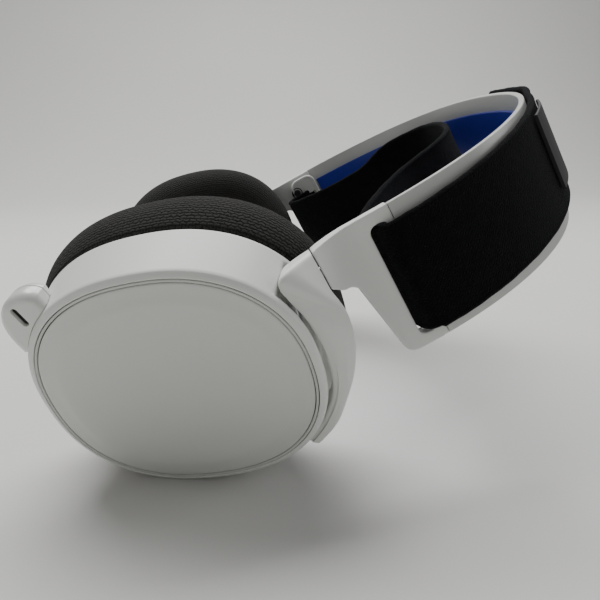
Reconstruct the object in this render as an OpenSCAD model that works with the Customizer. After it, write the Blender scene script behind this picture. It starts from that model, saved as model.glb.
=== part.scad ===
// Wireless gaming headset with a metal headband, a ski-goggle strap and a retractable microphone.
// It lies on its back: +X runs from the ear cups to the crown, +Y to the wearer's right and +Z up.
// Each part is built in the headset's own upright frame (x right, y front, z crown) and laid down last.

/* [Headband] */
// Width of the headband from its front edge to its rear edge
band_w = 41; // [39:0.5:43]
// Half the width of the arch at its widest line
arch_half_w = 92.4; // [90:0.2:95]
// Height of the arch above its widest line
arch_h = 82; // [79:0.5:85]
// Squareness of the arch, where 2 is an ellipse
arch_power = 2.28; // [2.2:0.02:2.4]
// Thickness of the metal band
metal_t = 1.8; // [1.4:0.1:2]
// Width of the coloured liner under the band
liner_w = 28; // [24:1:32]

/* [Strap] */
// Width of the fabric strap
strap_w = 33; // [28:1:33]
// Thickness of the fabric strap
strap_t = 2.2; // [1.6:0.1:2.2]

/* [Ear cups] */
// Half height of the outer plate
plate_half_h = 37; // [36:0.5:37]
// Half width of the outer plate
plate_half_w = 33.5; // [33:0.5:34]
// Squareness of the cup's outline
cup_power = 2.28; // [2.2:0.02:2.4]
// Depth of the hard cup from its plate to its cushion
cup_depth = 16.7; // [16.5:0.1:17]
// Depth of the ear cushion
cushion_depth = 21; // [18:0.5:22]
// How far the cups are turned on their swivels at rest
cup_swivel = 13; // [12:0.5:14]
// How far the cups are tilted in their yokes at rest
cup_tilt = 18; // [17:0.5:19]
// How far the yokes lean to the rear
cup_lean = 11; // [10:0.5:12]

/* [Microphone] */
// Length of the straight boom behind the microphone's head
boom_len = 60; // [50:1:60]
// Radius of the boom
boom_r = 2; // [1.8:0.1:2.2]

/* [Lying pose] */
// Angle of the crown's direction above the table
lie_angle = 28; // [25:0.5:31]

/* [Hidden] */

LEFT = -1;
RIGHT = 1;
gap = 0.3;                      // clearance between bodies that pass each other
run_fit = 0.05;                 // radial clearance of a shaft in its bore
big = 400;                      // larger than the whole headset
table_x = 8.547;                // puts the origin under the middle of the whole headset
table_z = 60.22;                // puts the lowest points on the table

// Colours
white = [0.90, 0.91, 0.90];
navy = [0.03, 0.07, 0.45];
fabric_black = [0.05, 0.05, 0.06];
knit_grey = [0.13, 0.13, 0.13];
steel = [0.70, 0.71, 0.72];
board_green = [0.05, 0.30, 0.15];

// Heights on the headband's arms, measured from the widest line
seam_z = 10.3;                  // where the metal band meets the end pieces
patch_y = [-8, 17];             // the strap's patch, rear to front
patch_a = [-42, -25];           // arch angles where the patch starts and ends
patch_t = 1.2;
swivel_z = -13.5;               // the swivel seam between end piece and yoke
flare = 0.037;                  // outward flare of the neck, per millimetre of height squared
end_t = 3.6;                    // wall of the end piece
neck_t = 6;                     // thickness of the neck at the swivel seam
neck_front = 20.2;              // front edge of the neck
neck_rear = 8.9;                // rear edge of the neck
cover_t = 1.5;
liner_t = 1;
cover_in = arch_half_w - end_t - cover_t - 0.9;  // inner face of the cover
window_y = [-17.2, 16.8];       // the strap's window, rear to front
window_z = [2.8, 8.6];          // the strap's window, lower to upper edge
screw_y = 12.5;                 // screw in the inner cover
screw_z = -0.4;
screw_shank_r = 1;

// Swivel shaft, on the neck's centre line
swivel_x = 94.8;
swivel_y = 13.6;
shaft_r = 1.4;
shaft_up = 3;                   // length of the shaft above the seam
shaft_down = 1.8;               // length of the shaft below the seam

// Ear cup
cup_centre = [94.9, 4.2, -62.4];  // centre of the right cup's outer plate
rim_off = 2.7;                  // the rim stands this far outside the plate
base_off = 5.5;                 // the wall's foot stands this far outside the plate
cushion_off = 8.2;              // the cushion bulges this far outside the plate
ear_off = -11;                  // the ear opening lies this far inside the plate
wall_t = 2;
floor_t = 1.6;
channel_off = 2.2;              // the housing is cut back to here under the yoke
yoke_in = 4;                    // inner edge of the yoke, outside the plate
yoke_out = 12.6;                // outer edge at the crown side
yoke_tip = 8.2;                 // outer edge at the rear tip
yoke_x = [-11.5, -3];           // depth that the yoke spans
channel_front = -2.2;           // the channel that the yoke lies in starts at this depth
yoke_from = 52;                 // angle of the yoke's front corner round the outline
yoke_to = 137;                  // angle of the yoke's rear tip
channel_to = 148;               // the yoke's channel ends at this angle
tilt_point = [-6.5, -3, 34];    // a point of the tilt axis: depth, front, height
tilt_rise = 7.5;                // the tilt axis rises to the front by this angle
pin_r = 1.5;
pin_front = [12, 25.5];         // ends of the front pin along the tilt axis
pin_rear = [-26.5, -15];        // ends of the rear pin along the tilt axis
boss_front = [11, 15.6];        // ends of the bosses that carry the pins
boss_rear = [-18.5, -13.5];
boss_r = 3;
baffle_t = 2;
baffle_x = -cup_depth + baffle_t;  // outer face of the baffle that carries the driver
driver_r = 20;
driver_deep = 7.2;

// Microphone, pointing out through the lower front wall
mic_angle = -49;
mic_x = -5.6;
mic_wall_r = 41.5;              // distance from the cup's centre to the wall along the boom
mic_head_t = 8;
mic_edge = [                    // outline of the head: along the wall, then out along the boom
    [-8.9, 41.8], [-9, 43.5], [-7.9, 45.8], [-5.3, 47.9], [-2.3, 49.1],
    [0.4, 49.4], [3.7, 48.6], [6.6, 46.6], [8.3, 43.4], [8.8, 41.8]
];
mic_slot = [-1.3, 44];          // middle of the slot in the head's face
mic_slot_size = [1.7, 5.6];
mic_slot_turn = 33;             // the slot is turned off the boom's line

// Controls on the lower rear wall: angles round the outline
wheel_angle = 176;
button_angle = 230;
jack_angle = 244;
socket_angle = 264;
control_x = -9.5;
wheel_r = 8;
wheel_t = 4;
wheel_out = 1.4;                // how far a wheel stands out of the wall
wall_rise = 1.4;                // how far the wall has flared outside its rim at the controls
button_r = 3;
jack_r = 1.8;

// ---------- curves ----------

function spow(v, p) = sign(v) * pow(abs(v), p);

// A point of the arch, at angle a from the crown and inset by i
function arch_point(a, i) = [
    (arch_half_w - i) * spow(sin(a), 2 / arch_power),
    (arch_h - i) * spow(cos(a), 2 / arch_power)
];

function arch_points(i, a0, a1, n) = [for (k = [0:n]) arch_point(a0 + (a1 - a0) * k / n, i)];

// A point of the cup's outline, at angle t and offset o outside the plate
function cup_point(t, o) = [
    (plate_half_w + o) * spow(cos(t), 2 / cup_power),
    (plate_half_h + o) * spow(sin(t), 2 / cup_power)
];

function cup_points(o, t0 = 0, t1 = 354, n = 59) = [for (k = [0:n]) cup_point(t0 + (t1 - t0) * k / n, o)];

// Outer face of the arch at a height
function arch_at(z) = arch_half_w * pow(1 - pow(max(z, 0) / arch_h, arch_power), 1 / arch_power);

// Outer face of an arm below the widest line
function arm_x(z) = arch_half_w + flare * z * z;

// Arc of a round corner, from one angle to another
function corner(c, r, a0, a1) = [
    for (k = [0:4])
        let (a = a0 + (a1 - a0) * k / 4)
        c + r * [cos(a), sin(a)]
];

// Smooth step from 0 to 1
function ease(u) = let (c = min(1, max(0, u))) c * c * (3 - 2 * c);

// Normal of a path at point i, and the path moved sideways by d
function path_normal(p, i) =
    let (q = p[min(i + 1, len(p) - 1)] - p[max(i - 1, 0)])
    [-q[1], q[0]] / norm(q);
function path_side(p, d) = [for (i = [0:len(p) - 1]) p[i] + d * path_normal(p, i)];
function reversed(p) = [for (i = [len(p) - 1:-1:0]) p[i]];

// Smooth curve through hand-placed points
function spline_point(a, b, c, d, u) =
    0.5 * (2 * b + (c - a) * u + (2 * a - 5 * b + 4 * c - d) * u * u + (3 * b - a - 3 * c + d) * u * u * u);
function spline(p, n) = [
    for (i = [1:len(p) - 3])
        for (k = [0:n - 1])
            spline_point(p[i - 1], p[i], p[i + 1], p[i + 2], k / n)
];

// ---------- placing ----------

// Lays the upright headset down on its back, on the table
module lay() {
    translate([table_x, 0, table_z])
        rotate([0, 90 - lie_angle, 0])
            rotate([0, 0, 90])
                children();
}

// Builds for the right side and mirrors for the left
module on_side(side) {
    if (side == LEFT)
        mirror([1, 0, 0]) children();
    else
        children();
}

// Stands a part in the right cup's own frame: x out of the plate, y front, z up
module in_cup(side) {
    lay()
        on_side(side)
            translate(cup_centre)
                rotate([cup_lean, cup_tilt, -cup_swivel])
                    children();
}

// Prism along x between two depths, from an outline in y and z
module prism_x(x, points) {
    translate([x[0], 0, 0])
        rotate([90, 0, 90])
            linear_extrude(x[1] - x[0])
                polygon(points);
}

// Prism across the headband, from an outline in x and z
module prism_y(y, points) {
    translate([0, y[1], 0])
        rotate([90, 0, 0])
            linear_extrude(y[1] - y[0])
                polygon(points);
}

// Round bars along the y axis and along the z axis
module bar_y(r, y, fn = 32) {
    translate([0, y[1], 0])
        rotate([90, 0, 0])
            cylinder(h = y[1] - y[0], r = r, $fn = fn);
}

module bar_z(r, from, to, fn = 32) {
    translate([0, 0, from])
        cylinder(h = to - from, r = r, $fn = fn);
}

// ---------- headband ----------

// Layer of the arch between two insets, kept above a height
module arch_layer(outer, inner, y, above) {
    difference() {
        prism_y(y, concat(arch_points(outer, -90, 90, 48), reversed(arch_points(inner, -90, 90, 48))));
        translate([-big / 2, -big / 2, above - big])
            cube(big);
    }
}

module headband_spring() {
    color(white)
        lay() arch_layer(0, metal_t, [-band_w / 2, band_w / 2], seam_z);
}

module headband_liner() {
    color(navy)
        lay() arch_layer(metal_t, metal_t + liner_t, [-liner_w / 2, liner_w / 2], seam_z + 2);
}

// Route of the strap's centre line, from the end of the left tail to the end of the right tail
tail_off = 0.5 + strap_t / 2;   // centre of a tail outside the metal
lap = strap_t + 0.4;            // the left tail rides this much higher where it laps the right one
left_end = 3;
right_end = -9;
lap_from = -24;
tail_foot = 85;                 // arch angle where a tail turns in to its window
inner_route = [
    [-93.9, 10.5], [-93.6, 7.9], [-92.2, 6], [-89, 4.9], [-84, 4.2], [-75, 4.2], [-64, 8.5],
    [-48, 19.5], [-37, 30], [-30, 40], [-22, 50], [-9, 58], [8, 63], [24, 65], [40, 63.5], [49, 56],
    [53, 44], [54, 32], [55.5, 20], [60, 8], [68, -1.5], [76, -6], [81.4, -6], [83.6, -3], [84.2, 0], [85, 3],
    [87.6, 5.2], [90.2, 5.8], [92.2, 6.5], [93.6, 8], [93.9, 10.5]
];
left_tail = [
    for (k = [0:40])
        let (a = left_end + (-tail_foot - left_end) * k / 40)
        arch_point(a, -tail_off - lap * ease((a - lap_from) / 12))
];
right_tail = [for (k = [0:44]) arch_point(tail_foot + (right_end - tail_foot) * k / 44, -tail_off)];
strap_route = concat(left_tail, spline(inner_route, 3), right_tail);

module headband_strap() {
    color(fabric_black)
        lay()
            prism_y([-strap_w / 2, strap_w / 2],
                concat(path_side(strap_route, strap_t / 2), reversed(path_side(strap_route, -strap_t / 2))));
}

// Plain rubber patch on the strap at the shoulder of the arch
module strap_patch() {
    under = -tail_off - strap_t / 2 - 0.1;
    color([0.10, 0.10, 0.11])
        lay()
            prism_y(patch_y,
                concat(arch_points(under - patch_t, patch_a[0], patch_a[1], 10),
                       reversed(arch_points(under, patch_a[0], patch_a[1], 10))));
}

// Side outline of an end piece: neck at the front, notch, rear lobe
end_outline = concat(
    [[band_w / 2, seam_z], [band_w / 2, -3], [neck_front, swivel_z + gap], [neck_rear, swivel_z + gap]],
    [[6.3, -10.4], [5.6, -8]], corner([3.6, -8.2], -1.6, 200, 260),
    corner([-16.5, 1], 4, -100, -180),
    [[-band_w / 2, seam_z]]
);

// Section of an arm: outer face down from the arch to the neck, then the inner face back up
function arm_inner(z) = arm_x(z) - end_t - (neck_t - end_t) * ease(z / swivel_z);
arm_section = concat(
    [for (z = [seam_z:-2.06:0]) [arch_at(z), z]],
    [for (z = [-1.5:-1.5:swivel_z]) [arm_x(z), z]],
    [for (z = [swivel_z:1.5:-1.5]) [arm_inner(z), z]],
    [[arch_half_w - end_t, 0], [arch_half_w - end_t - 0.6, seam_z]]
);

function rounded_box(y, z, r) = concat(
    corner([y[1] - r, z[1] - r], r, 0, 90), corner([y[0] + r, z[1] - r], r, 90, 180),
    corner([y[0] + r, z[0] + r], r, 180, 270), corner([y[1] - r, z[0] + r], r, 270, 360));

module window_cut() {
    prism_x([arch_half_w - 20, arch_half_w + 10], rounded_box(window_y, window_z, 2.2));
}

module end_piece(side) {
    color(white)
        lay()
            on_side(side)
                difference() {
                    intersection() {
                        prism_y([-band_w / 2, band_w / 2], arm_section);
                        prism_x([80, 110], end_outline);
                    }
                    window_cut();
                    translate([swivel_x, swivel_y, 0])
                        bar_z(shaft_r + run_fit, swivel_z - 1, swivel_z + shaft_up + gap);
                    translate([arch_half_w - end_t - 5, screw_y, screw_z])
                        rotate([0, 90, 0]) bar_z(screw_shank_r + run_fit, 0, 7);
                }
}

module end_cover(side) {
    color([0.62, 0.63, 0.62])
        lay()
            on_side(side)
                difference() {
                    prism_x([cover_in, cover_in + cover_t], rounded_box([-18.5, 19], [-2.4, 11.5], 4.5));
                    prism_x([cover_in - 1, cover_in + cover_t + 1], rounded_box([-17.6, 17.2], [2.4, 9], 2.2));
                    translate([cover_in - 1, screw_y, screw_z])
                        rotate([0, 90, 0]) bar_z(screw_shank_r + 0.2, 0, 5);
                }
}

module end_screws() {
    for (side = [LEFT, RIGHT])
        color(steel)
            lay()
                on_side(side)
                    translate([cover_in, screw_y, screw_z])
                        rotate([0, 90, 0]) {
                            bar_z(1.8, -0.8, -0.05);
                            bar_z(screw_shank_r, -0.2, 4.5);
                        }
}

// ---------- yokes ----------

// Ring sector that follows the cup's outline
module yoke_sector(x, t0, t1, off, wide) {
    prism_x(x, concat(cup_points(off, t0, t1, 24), reversed(cup_points(off + wide, t0, t1, 24))));
}

// Neck that joins the yoke to the swivel seam, as a section in x and z and an outline in y and z
neck_end = -21.4;
neck_section = [
    [93.1, swivel_z], [112, swivel_z], [112, neck_end], [102.3, neck_end],
    [101, -20.4], [96.5, -17.2], [93.1, -15.6]
];
neck_outline = [[neck_rear, swivel_z], [neck_front, swivel_z], [20.4, neck_end], [6.2, neck_end]];

// Outline of the yoke in the cup's frame: blunt front corner, inner edge, rear tip and outer edge
function yoke_edge(t) = yoke_tip + (yoke_out - yoke_tip) * ease((132 - t) / 44);
yoke_outline = concat(
    [[12.7, 46], [25.4, 42.4], [26.2, 38], [26, 36.4], [25, 35.2], [23.6, 34.8], [21.6, 35.3]],
    cup_points(yoke_in, 62, yoke_to, 24),
    [for (k = [16:-1:0]) let (t = 84 + (yoke_to - 84) * k / 16) cup_point(t, yoke_edge(t))],
    [[9.6, 48.4]]
);

// Slope of the outer face from the swivel seam down to the yoke
slope_point = [-14.6, 25.1, 42.6];
slope_tilt = 32.1;               // its normal tilts this far from z
slope_turn = 37.9;               // and is turned this far round z

module on_tilt_axis() {
    translate(tilt_point)
        rotate([tilt_rise, 0, 0])
            children();
}

module yoke_shape() {
    difference() {
        union() {
            translate(cup_centre)
                rotate([cup_lean, cup_tilt, -cup_swivel])
                    prism_x(yoke_x, yoke_outline);
            intersection() {
                prism_y([0, 30], neck_section);
                prism_x([80, 120], neck_outline);
            }
        }
        translate([80, -50, swivel_z])
            cube([40, 100, 10]);
        translate(cup_centre)
            rotate([cup_lean, cup_tilt, -cup_swivel]) {
                on_tilt_axis() bar_y(pin_r, [pin_rear[0], pin_front[1]]);
                translate(slope_point)
                    rotate([0, 0, slope_turn])
                        rotate([0, slope_tilt, 0])
                            translate([-30, -30, 0]) cube([60, 60, 30]);
            }
        translate([swivel_x, swivel_y, 0])
            bar_z(shaft_r, swivel_z - shaft_down, swivel_z + 1);
    }
}

module yoke(side) {
    color(white)
        lay() on_side(side) yoke_shape();
}

module swivel_shaft(side) {
    color(steel)
        lay()
            on_side(side)
                translate([swivel_x, swivel_y, 0])
                    bar_z(shaft_r, swivel_z - shaft_down, swivel_z + shaft_up);
}

module tilt_pins(side) {
    color(steel)
        in_cup(side)
            on_tilt_axis()
                for (end = [pin_front, pin_rear])
                    bar_y(pin_r, end);
}

// ---------- ear cups ----------

module cup_body(off_in, x_out, x_in) {
    hull() {
        prism_x([x_out - 0.5, x_out], cup_points(rim_off - off_in));
        prism_x([x_in, x_in + 0.5], cup_points(base_off - off_in));
    }
}

// Places a part at an angle round the wall, z pointing out of the cup
module at_wall(angle, x = control_x) {
    translate([x, 0, 0])
        rotate([angle - 90, 0, 0])
            children();
}

function wall_r(angle, o) = norm(cup_point(angle, o));

module cup_housing(side) {
    color(white)
        in_cup(side)
            difference() {
                union() {
                    difference() {
                        cup_body(0, -0.6, -cup_depth);
                        cup_body(wall_t, -0.6 - floor_t, -cup_depth - 1);
                        yoke_sector([baffle_x, channel_front], yoke_from - 7, channel_to, channel_off, 12);
                    }
                    for (boss = [boss_front, boss_rear])
                        on_tilt_axis() bar_y(boss_r, boss);
                    yoke_sector([baffle_x, -0.6], yoke_from - 7, channel_to, channel_off - 1.6, 1.6);
                }
                on_tilt_axis() bar_y(pin_r + run_fit, [-50, 50]);
                if (side == LEFT) {
                    at_wall(mic_angle, mic_x) bar_z(boom_r + 1.2, 20, 60);
                    at_wall(wheel_angle) wheel_pocket();
                    at_wall(button_angle) bar_z(button_r + gap, 20, 60);
                    at_wall(socket_angle) port_slot();
                    at_wall(jack_angle) bar_z(jack_r + 1, 20, 60);
                } else {
                    at_wall(wheel_angle) wheel_pocket();
                    at_wall(button_angle) bar_z(button_r + gap, 20, 60);
                }
            }
}

module wheel_pocket() {
    translate([-wheel_t / 2 - gap, -wheel_r - gap, 20])
        cube([wheel_t + 2 * gap, 2 * (wheel_r + gap), 40]);
}

module port_slot() {
    translate([-1.8, -4.7, 20])
        cube([3.6, 9.4, 40]);
}

module trim_ring(side) {
    color([0.72, 0.73, 0.72])
        in_cup(side)
            difference() {
                prism_x([-0.6, 0.4], cup_points(rim_off - 0.4));
                prism_x([-1, 1], cup_points(0.6));
            }
}

module speaker_plate(side) {
    color(white)
        in_cup(side) {
            prism_x([-0.6, 0.4], cup_points(0.3));
            prism_x([0.4, 0.9], cup_points(-3.5));
        }
}

module baffle(side) {
    color([0.15, 0.15, 0.16])
        in_cup(side)
            difference() {
                prism_x([-cup_depth, baffle_x], cup_points(base_off - wall_t - 0.8));
                translate([-cup_depth - 1, 0, 0])
                    rotate([0, 90, 0]) bar_z(driver_r - 1.5, 0, 4, 64);
                baffle_screw_places() bar_z(screw_shank_r + run_fit, -1, baffle_t + 1);
            }
}

module driver(side) {
    color([0.25, 0.25, 0.27])
        in_cup(side)
            translate([baffle_x, 0, 0])
                rotate([0, 90, 0])
                    union() {
                        bar_z(driver_r, 0, 2.5, 64);
                        bar_z(driver_r - 6, 2.5, driver_deep - 2, 64);
                    }
}

// Ring cushion: a fat ring round the ear, widest at its middle
module ear_cushion(side) {
    back = -cup_depth;
    color(knit_grey)
        in_cup(side)
            difference() {
                hull() {
                    prism_x([back - 1, back], cup_points(base_off - 1));
                    prism_x([back - 14, back - 8], cup_points(cushion_off));
                    prism_x([back - cushion_depth, back - cushion_depth + 1], cup_points(3));
                }
                prism_x([back - cushion_depth - 1, back + 1], cup_points(ear_off));
            }
}

// Thin cloth over the driver at the bottom of the ear opening
module ear_scrim(side) {
    color(fabric_black)
        in_cup(side)
            prism_x([-cup_depth - 0.8, -cup_depth], cup_points(ear_off - 0.3));
}

module baffle_screws(side) {
    color(steel)
        in_cup(side)
            baffle_screw_places() bar_z(screw_shank_r, 0, baffle_t);
}

// Stands on the baffle's inner face at each of its four screws
module baffle_screw_places() {
    for (t = [45, 135, 225, 315])
        translate([-cup_depth, 0.74 * cup_point(t, 0)[0], 0.74 * cup_point(t, 0)[1]])
            rotate([0, 90, 0]) children();
}

// ---------- inside the cups ----------

module board(side) {
    color(board_green)
        in_cup(side)
            translate([-3.6, -26, -12])
                cube([1, 20, 30]);
}

module main_board() {
    board(LEFT);
}

module power_board() {
    board(RIGHT);
}

module battery() {
    color([0.55, 0.57, 0.60])
        in_cup(RIGHT)
            translate([-7.8, -4, -22])
                cube([4.4, 28, 42]);
}

// ---------- microphone ----------

module mic_boom() {
    color([0.10, 0.10, 0.11])
        in_cup(LEFT)
            at_wall(mic_angle, mic_x)
                bar_z(boom_r, mic_wall_r - boom_len, mic_wall_r + 1);
}

module mic_bush() {
    color([0.20, 0.20, 0.20])
        in_cup(LEFT)
            at_wall(mic_angle, mic_x)
                difference() {
                    bar_z(boom_r + 1.2, mic_wall_r - 5, mic_wall_r - 1.2);
                    bar_z(boom_r + run_fit, mic_wall_r - 10, mic_wall_r + 10);
                }
}

// Flat head with a domed outline and a slot in its face
module mic_head() {
    last = len(mic_edge) - 1;
    route = concat([mic_edge[0]], mic_edge, [mic_edge[last]]);
    color(white)
        in_cup(LEFT)
            at_wall(mic_angle, mic_x)
                difference() {
                    prism_x([-mic_head_t / 2, mic_head_t / 2], concat(spline(route, 3), [mic_edge[last]]));
                    bar_z(boom_r, mic_wall_r - 1, mic_wall_r + 1);
                    mic_slot_shape(2);
                }
}

module mic_slot_shape(depth) {
    translate([mic_head_t / 2 - 1, mic_slot[0], mic_slot[1]])
        rotate([mic_slot_turn, 0, 0])
            translate([0, -mic_slot_size[0] / 2, -mic_slot_size[1] / 2])
                cube([depth, mic_slot_size[0], mic_slot_size[1]]);
}

module mic_port() {
    color([0.03, 0.03, 0.03])
        in_cup(LEFT)
            at_wall(mic_angle, mic_x) mic_slot_shape(0.6);
}

// ---------- controls ----------

module thumb_wheel(side) {
    r = wall_r(wheel_angle, rim_off + wall_rise) + wheel_out - wheel_r;
    color([0.16, 0.16, 0.17])
        in_cup(side)
            at_wall(wheel_angle)
                translate([-wheel_t / 2, 0, r])
                    rotate([0, 90, 0])
                        difference() {
                            bar_z(wheel_r, 0, wheel_t, 48);
                            bar_z(1 + run_fit, -1, wheel_t + 1);
                        }
}

module thumb_axle(side) {
    r = wall_r(wheel_angle, rim_off + wall_rise) + wheel_out - wheel_r;
    color(steel)
        in_cup(side)
            at_wall(wheel_angle)
                translate([baffle_x - control_x, 0, r])
                    rotate([0, 90, 0]) bar_z(1, 0, -0.6 - floor_t - baffle_x);
}

module wall_button(side) {
    r = wall_r(button_angle, rim_off + wall_rise);
    color([0.16, 0.16, 0.17])
        in_cup(side)
            at_wall(button_angle) bar_z(button_r, r - 5, r + 1.2);
}

module usb_socket() {
    r = wall_r(socket_angle, rim_off);
    color(steel)
        in_cup(LEFT)
            at_wall(socket_angle)
                difference() {
                    translate([-1.6, -4.5, r - 7]) cube([3.2, 9, 7]);
                    translate([-1.2, -4.1, r - 6]) cube([2.4, 8.2, 8]);
                }
}

module audio_jack() {
    r = wall_r(jack_angle, rim_off);
    color([0.10, 0.10, 0.10])
        in_cup(LEFT)
            at_wall(jack_angle)
                difference() {
                    bar_z(jack_r + 1, r - 14, r - 0.3);
                    bar_z(jack_r, r - 13, r + 1);
                }
}

// ---------- nodes ----------

headband_spring();
headband_liner();
headband_strap();
strap_patch();
end_piece(LEFT);  // end_piece_left
end_piece(RIGHT);  // end_piece_right
end_cover(LEFT);  // end_cover_left
end_cover(RIGHT);  // end_cover_right
end_screws();
yoke(LEFT);  // yoke_left
yoke(RIGHT);  // yoke_right
swivel_shaft(LEFT);  // swivel_shaft_left
swivel_shaft(RIGHT);  // swivel_shaft_right
tilt_pins(LEFT);  // tilt_pins_left
tilt_pins(RIGHT);  // tilt_pins_right
cup_housing(LEFT);  // cup_housing_left
cup_housing(RIGHT);  // cup_housing_right
trim_ring(LEFT);  // trim_ring_left
trim_ring(RIGHT);  // trim_ring_right
speaker_plate(LEFT);  // speaker_plate_left
speaker_plate(RIGHT);  // speaker_plate_right
baffle(LEFT);  // baffle_left
baffle(RIGHT);  // baffle_right
driver(LEFT);  // driver_left
driver(RIGHT);  // driver_right
ear_cushion(LEFT);  // ear_cushion_left
ear_cushion(RIGHT);  // ear_cushion_right
ear_scrim(LEFT);  // ear_scrim_left
ear_scrim(RIGHT);  // ear_scrim_right
baffle_screws(LEFT);  // baffle_screws_left
baffle_screws(RIGHT);  // baffle_screws_right
main_board();
power_board();
battery();
mic_boom();
mic_head();
mic_port();
mic_bush();
thumb_wheel(LEFT);  // volume_wheel
thumb_axle(LEFT);  // volume_axle
wall_button(LEFT);  // mute_button
thumb_wheel(RIGHT);  // balance_wheel
thumb_axle(RIGHT);  // balance_axle
wall_button(RIGHT);  // power_button
usb_socket();
audio_jack();
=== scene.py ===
"""Looks for the gaming headset: a wireless headset lying on its back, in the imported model's frame."""

import math

import bmesh
import bpy
from mathutils import Matrix, Vector


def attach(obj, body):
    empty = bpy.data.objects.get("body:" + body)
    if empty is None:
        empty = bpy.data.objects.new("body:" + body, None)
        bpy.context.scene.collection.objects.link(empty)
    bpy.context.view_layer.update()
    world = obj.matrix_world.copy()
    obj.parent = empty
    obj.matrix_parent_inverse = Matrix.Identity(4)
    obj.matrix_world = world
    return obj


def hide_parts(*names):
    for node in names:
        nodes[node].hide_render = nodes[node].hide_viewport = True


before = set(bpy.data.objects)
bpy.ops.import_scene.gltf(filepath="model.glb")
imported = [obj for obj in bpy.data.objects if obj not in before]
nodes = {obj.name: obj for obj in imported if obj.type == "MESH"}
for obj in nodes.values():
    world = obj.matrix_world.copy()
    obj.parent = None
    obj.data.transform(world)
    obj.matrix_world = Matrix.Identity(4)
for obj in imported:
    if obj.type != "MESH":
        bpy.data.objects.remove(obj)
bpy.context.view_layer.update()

# ---------- frame ----------
# Shapes are given in mm in the upright headset (x to the wearer's right, y front, z crown),
# and laid down on the table as the CAD model is.

MM = 0.001
# How far the crown is lifted from lying flat, and where the upright headset's origin then stands
LIE = math.radians(28)
TABLE = Vector((8.547, 0, 60.22))
# How a cup is turned in its yoke, and its centre on the right side
CUP_TURN = (
    Matrix.Rotation(math.radians(-13), 3, "Z")
    @ Matrix.Rotation(math.radians(18), 3, "Y")
    @ Matrix.Rotation(math.radians(11), 3, "X")
)
CUP_CENTRE = Vector((94.9, 4.2, -62.4))
SIDES = (("left", -1), ("right", 1))


def row(p):
    """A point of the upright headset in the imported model's frame, in metres."""
    x, y, z = p
    s, c = math.sin(LIE), math.cos(LIE)
    return (Vector((z * c - y * s, x, y * c + z * s)) + TABLE) * MM


def cup(p, side):
    """A point of a cup's own frame (x out, y front, z crown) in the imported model's frame."""
    q = CUP_TURN @ Vector(p) + CUP_CENTRE
    return row((side * q.x, q.y, q.z))


# ---------- curves ----------

# Half width, height and roundness of the band's arch; half width, half height and roundness of a plate
ARCH_W, ARCH_H, ARCH_N = 92.4, 82, 2.28
PLATE_W, PLATE_H, CUP_N = 33.5, 37, 2.28


def spow(v, p):
    """A power that keeps the number's sign."""
    return math.copysign(abs(v) ** p, v)


def ease(u):
    """Smooth step from 0 to 1."""
    u = min(1, max(0, u))
    return u * u * (3 - 2 * u)


def arch(angle, inset):
    """A point (x, z) of the band's arch, at degrees from the crown, some way inside its outer face."""
    a = math.radians(angle)
    return (
        (ARCH_W - inset) * spow(math.sin(a), 2 / ARCH_N),
        (ARCH_H - inset) * spow(math.cos(a), 2 / ARCH_N),
    )


def outline(t, off):
    """The cup's outline at an angle in radians, a distance outside the plate."""
    return (
        (PLATE_W + off) * spow(math.cos(t), 2 / CUP_N),
        (PLATE_H + off) * spow(math.sin(t), 2 / CUP_N),
    )


def blend(a, b, u):
    """A pair of values some way from one pair to another."""
    return tuple(p + (q - p) * u for p, q in zip(a, b))


def catmull(points, n, closed=False):
    """Smooth curve through given points."""
    out, m = [], len(points)
    for i in range(m if closed else m - 1):
        if closed:
            a, b, c, d = (points[(i + k) % m] for k in (-1, 0, 1, 2))
        else:
            a, b, c, d = (points[min(m - 1, max(0, i + k))] for k in (-1, 0, 1, 2))
        for k in range(n):
            u = k / n
            out.append(
                tuple(
                    0.5 * (2 * q + (r - p) * u + (2 * p - 5 * q + 4 * r - s) * u * u
                           + (3 * q - p - 3 * r + s) * u ** 3)
                    for p, q, r, s in zip(a, b, c, d)
                )
            )
    if not closed:
        out.append(tuple(points[-1]))
    return out


def lengths(points):
    """Distance along a path to each of its points."""
    out = [0]
    for a, b in zip(points, points[1:]):
        out.append(out[-1] + math.dist(a, b))
    return out


def even(points, step):
    """The same path with points at even steps."""
    dist = lengths(points)
    count = max(2, round(dist[-1] / step))
    out, i = [], 0
    for k in range(count + 1):
        d = dist[-1] * k / count
        while i < len(points) - 2 and dist[i + 1] < d:
            i += 1
        u = (d - dist[i]) / max(1e-9, dist[i + 1] - dist[i])
        out.append(blend(points[i], points[i + 1], u))
    return out


def arc(cx, cy, r, start, stop, n):
    """Points of a circle's arc between two angles in degrees."""
    angles = [math.radians(start + (stop - start) * k / n) for k in range(n + 1)]
    return [(cx + r * math.cos(a), cy + r * math.sin(a)) for a in angles]


def rounded(w0, w1, h0, h1, r, n=4):
    """Closed outline of a rectangle with round corners."""
    return (
        arc(w1 - r, h1 - r, r, 0, 90, n) + arc(w0 + r, h1 - r, r, 90, 180, n)
        + arc(w0 + r, h0 + r, r, 180, 270, n) + arc(w1 - r, h0 + r, r, 270, 360, n)
    )


# ---------- meshes ----------


def bare_mesh(name, bm):
    mesh = bpy.data.meshes.new(name)
    bm.to_mesh(mesh)
    bm.free()
    return mesh


def placed(name, data):
    obj = bpy.data.objects.new(name, data)
    bpy.context.scene.collection.objects.link(obj)
    return obj


def dress(mesh, mat):
    """Gives a mesh its one material and smooth faces."""
    mesh.materials.clear()
    mesh.materials.append(mat)
    mesh.polygons.foreach_set("use_smooth", [True] * len(mesh.polygons))


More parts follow.
